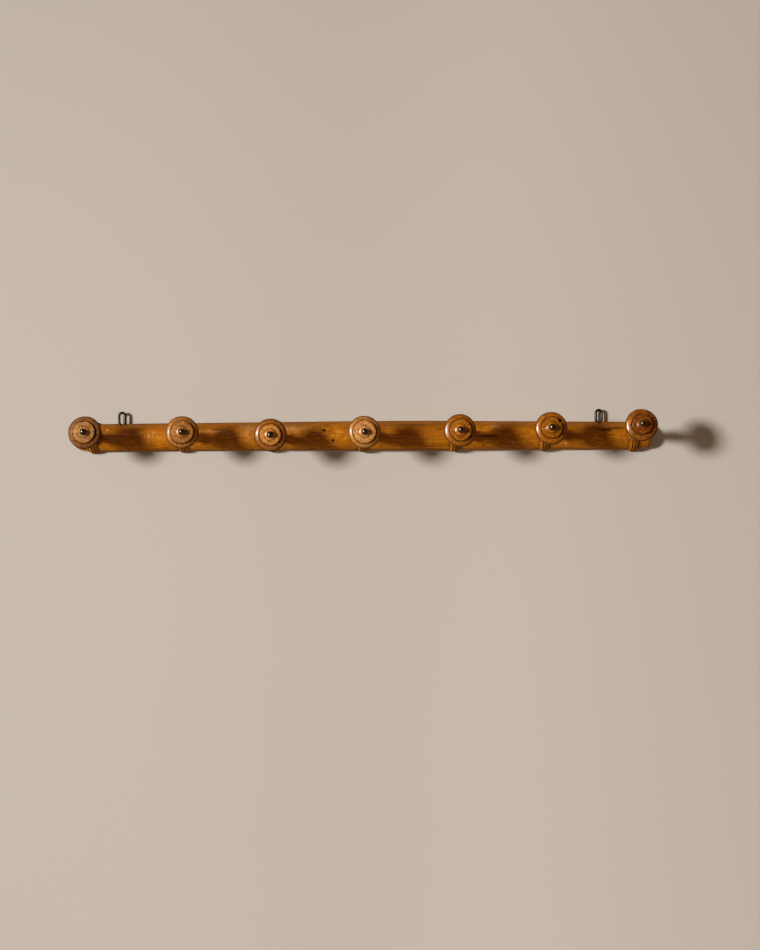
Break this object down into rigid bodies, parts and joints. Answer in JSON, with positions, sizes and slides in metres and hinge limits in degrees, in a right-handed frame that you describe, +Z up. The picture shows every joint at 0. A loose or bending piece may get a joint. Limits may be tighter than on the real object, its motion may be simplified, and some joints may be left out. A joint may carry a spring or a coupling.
{
  "type": "wall coat rack",
  "caption": "Turned wooden wall coat rack: a half-round bamboo-style rail with raised double-lined nodes, a knobbed peg at each node, and steel hanging eyes on its top edge.",
  "frame": {"origin": "on the rail's flat back, on its centre line, behind the middle peg", "axes": "+X along the rail to the right as seen from the front, +Y into the wall, +Z up; the pegs point to -Y"},
  "size_m": [0.9695, 0.1041, 0.072],
  "materials": {
    "rail_varnish": "aged amber varnish with grain, satin to gloss",
    "stem_varnish": "aged amber varnish, glossy, darker in the hollows",
    "knob_varnish": "worn glossy varnish, paler on two knobs, dark in the grooves",
    "screw_steel": "darkened polished steel",
    "eye_steel": "dull grey steel wire"
  },
  "bodies": {
    "root": {"rail": "rail_varnish", "peg_stem_1": "stem_varnish", "peg_stem_2": "stem_varnish", "peg_stem_3": "stem_varnish", "peg_stem_4": "stem_varnish", "peg_stem_5": "stem_varnish", "peg_stem_6": "stem_varnish", "peg_stem_7": "stem_varnish", "peg_knob_1": "knob_varnish", "peg_knob_2": "knob_varnish", "peg_knob_3": "knob_varnish", "peg_knob_4": "knob_varnish", "peg_knob_5": "knob_varnish", "peg_knob_6": "knob_varnish", "peg_knob_7": "knob_varnish", "knob_screw_1": "screw_steel", "knob_screw_2": "screw_steel", "knob_screw_3": "screw_steel", "knob_screw_4": "screw_steel", "knob_screw_5": "screw_steel", "knob_screw_6": "screw_steel", "knob_screw_7": "screw_steel", "hanging_eye_left": "eye_steel", "hanging_eye_right": "eye_steel"}
  },
  "joints": []
}
